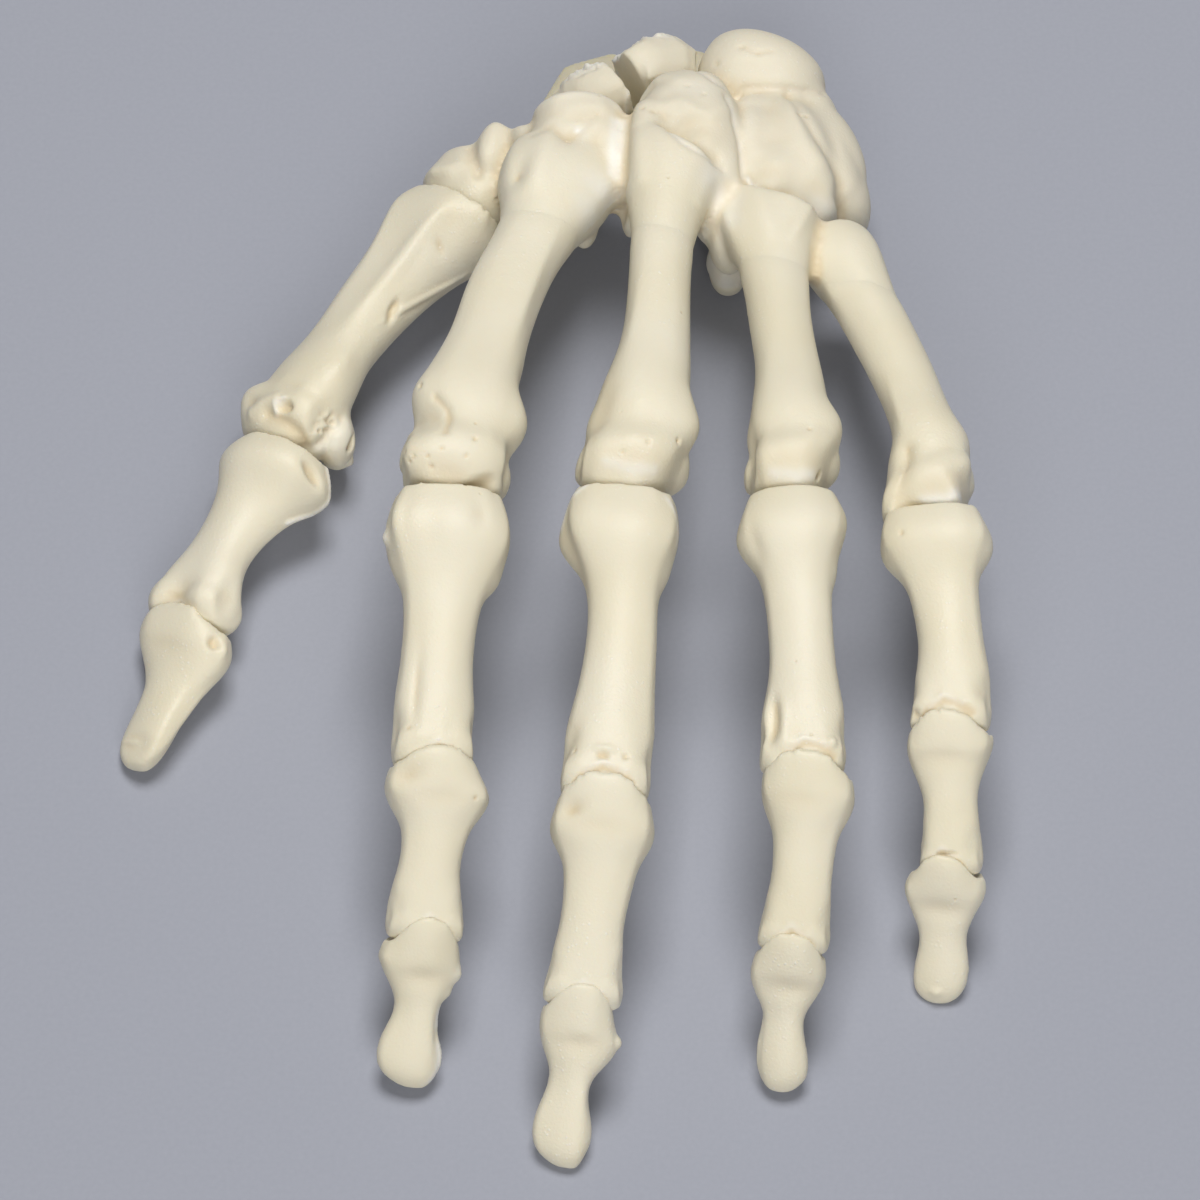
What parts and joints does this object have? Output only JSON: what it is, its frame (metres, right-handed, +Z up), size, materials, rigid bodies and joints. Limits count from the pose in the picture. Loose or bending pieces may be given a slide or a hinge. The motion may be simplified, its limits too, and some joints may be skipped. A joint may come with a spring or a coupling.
{
  "type": "hand fracture model",
  "caption": "Life-size skeleton of a left hand and wrist, palm down, with jointed fingers and thumb and a break across the scaphoid bone.",
  "frame": {"origin": "centre of the bounding box in X and Y, at the table top in Z", "axes": "+Z up out of the back of the hand, -Y towards the fingertips, +Y towards the wrist, -X towards the thumb and +X towards the little finger"},
  "size_m": [0.1204, 0.1766, 0.0355],
  "materials": {
    "cast_bone": "cream cast plastic, satin",
    "wrist_bone": "pale cream cast plastic, dull",
    "clear_backing": "cloudy yellowish resin",
    "elastic": "off-white elastic"
  },
  "bodies": {
    "palm": {"capitate": "wrist_bone", "trapezoid": "wrist_bone", "trapezium": "wrist_bone", "hamate": "wrist_bone", "lunate": "wrist_bone", "triquetrum": "wrist_bone", "pisiform": "wrist_bone", "scaphoid_distal_fragment": "wrist_bone", "carpal_backing": "clear_backing", "index_metacarpal": "cast_bone", "middle_metacarpal": "cast_bone", "ring_metacarpal": "cast_bone", "little_metacarpal": "cast_bone", "index_metacarpal_strand": "elastic", "middle_metacarpal_strand": "elastic", "ring_metacarpal_strand": "elastic", "little_metacarpal_strand": "elastic", "thumb_anchor_strand": "elastic"},
    "scaphoid_fragment": {"scaphoid_proximal_fragment": "wrist_bone"},
    "thumb_metacarpal": {"thumb_metacarpal": "cast_bone", "thumb_metacarpal_strand": "elastic", "thumb_inner_sesamoid": "cast_bone", "thumb_outer_sesamoid": "cast_bone"},
    "thumb_proximal": {"thumb_proximal_phalanx": "cast_bone", "thumb_proximal_strand": "elastic"},
    "thumb_distal": {"thumb_distal_phalanx": "cast_bone", "thumb_distal_strand": "elastic"},
    "index_proximal": {"index_proximal_phalanx": "cast_bone", "index_proximal_strand": "elastic"},
    "index_middle": {"index_middle_phalanx": "cast_bone", "index_middle_strand": "elastic"},
    "index_distal": {"index_distal_phalanx": "cast_bone", "index_distal_strand": "elastic"},
    "middle_proximal": {"middle_proximal_phalanx": "cast_bone", "middle_proximal_strand": "elastic"},
    "middle_middle": {"middle_middle_phalanx": "cast_bone", "middle_middle_strand": "elastic"},
    "middle_distal": {"middle_distal_phalanx": "cast_bone", "middle_distal_strand": "elastic"},
    "ring_proximal": {"ring_proximal_phalanx": "cast_bone", "ring_proximal_strand": "elastic"},
    "ring_middle": {"ring_middle_phalanx": "cast_bone", "ring_middle_strand": "elastic"},
    "ring_distal": {"ring_distal_phalanx": "cast_bone", "ring_distal_strand": "elastic"},
    "little_proximal": {"little_proximal_phalanx": "cast_bone", "little_proximal_strand": "elastic"},
    "little_middle": {"little_middle_phalanx": "cast_bone", "little_middle_strand": "elastic"},
    "little_distal": {"little_distal_phalanx": "cast_bone", "little_distal_strand": "elastic"}
  },
  "joints": [
    {"name": "thumb_base", "type": "hinge", "parent": "palm", "child": "thumb_metacarpal", "pos_m": [-0.01225, 0.05986, 0.0113], "axis": [0.6915, -0.4914, 0.5295], "range_deg": [-12, 8]},
    {"name": "thumb_knuckle", "type": "hinge", "parent": "thumb_metacarpal", "child": "thumb_proximal", "pos_m": [-0.03699, 0.02304, 0.00944], "axis": [0.7518, -0.3913, 0.5307], "range_deg": [-10, 20]},
    {"name": "thumb_end", "type": "hinge", "parent": "thumb_proximal", "child": "thumb_distal", "pos_m": [-0.04945, -0.00527, 0.00621], "axis": [0.7686, -0.3512, 0.5347], "range_deg": [-11, 50]},
    {"name": "index_knuckle", "type": "hinge", "parent": "palm", "child": "index_proximal", "pos_m": [-0.01333, 0.00376, 0.02878], "axis": [0.99, -0.0241, -0.1389], "range_deg": [-12, 50]},
    {"name": "index_middle_joint", "type": "hinge", "parent": "index_proximal", "child": "index_middle", "pos_m": [-0.015, -0.03754, 0.02407], "axis": [0.9908, 0.0036, -0.1356], "range_deg": [-17, 55]},
    {"name": "index_end_joint", "type": "hinge", "parent": "index_middle", "child": "index_distal", "pos_m": [-0.01622, -0.05881, 0.01465], "axis": [0.989, -0.0203, -0.1462], "range_deg": [-10, 50]},
    {"name": "middle_knuckle", "type": "hinge", "parent": "palm", "child": "middle_proximal", "pos_m": [0.01095, 0.00424, 0.02751], "axis": [0.9965, -0.0838, -0.0017], "range_deg": [-12, 50]},
    {"name": "middle_middle_joint", "type": "hinge", "parent": "middle_proximal", "child": "middle_middle", "pos_m": [0.00707, -0.04195, 0.02386], "axis": [0.9956, -0.0942, -0.0025], "range_deg": [-17, 55]},
    {"name": "middle_end_joint", "type": "hinge", "parent": "middle_middle", "child": "middle_distal", "pos_m": [0.00459, -0.06789, 0.0136], "axis": [0.9919, -0.1264, -0.0153], "range_deg": [-10, 50]},
    {"name": "ring_knuckle", "type": "hinge", "parent": "palm", "child": "ring_proximal", "pos_m": [0.03286, 0.00385, 0.02736], "axis": [0.997, 0.0208, 0.0751], "range_deg": [-12, 50]},
    {"name": "ring_middle_joint", "type": "hinge", "parent": "ring_proximal", "child": "ring_middle", "pos_m": [0.03392, -0.03908, 0.02516], "axis": [0.9907, -0.1184, 0.0673], "range_deg": [-17, 55]},
    {"name": "ring_end_joint", "type": "hinge", "parent": "ring_middle", "child": "ring_distal", "pos_m": [0.03195, -0.06092, 0.01565], "axis": [0.9868, -0.1534, 0.052], "range_deg": [-10, 50]},
    {"name": "little_knuckle", "type": "hinge", "parent": "palm", "child": "little_proximal", "pos_m": [0.05286, 0.00252, 0.02475], "axis": [0.9841, -0.0086, 0.1776], "range_deg": [-12, 50]},
    {"name": "little_middle_joint", "type": "hinge", "parent": "little_proximal", "child": "little_middle", "pos_m": [0.05311, -0.03084, 0.02173], "axis": [0.9798, -0.1092, 0.1676], "range_deg": [-17, 55]},
    {"name": "little_end_joint", "type": "hinge", "parent": "little_middle", "child": "little_distal", "pos_m": [0.05258, -0.04835, 0.01339], "axis": [0.9748, -0.1781, 0.1341], "range_deg": [-10, 50]},
    {"name": "scaphoid_fragment_slide", "type": "slide", "parent": "palm", "child": "scaphoid_fragment", "axis": [-0.891, -0.454, 0], "range_m": [0, 0.001], "stiffness_N_per_m": 50}
  ]
}
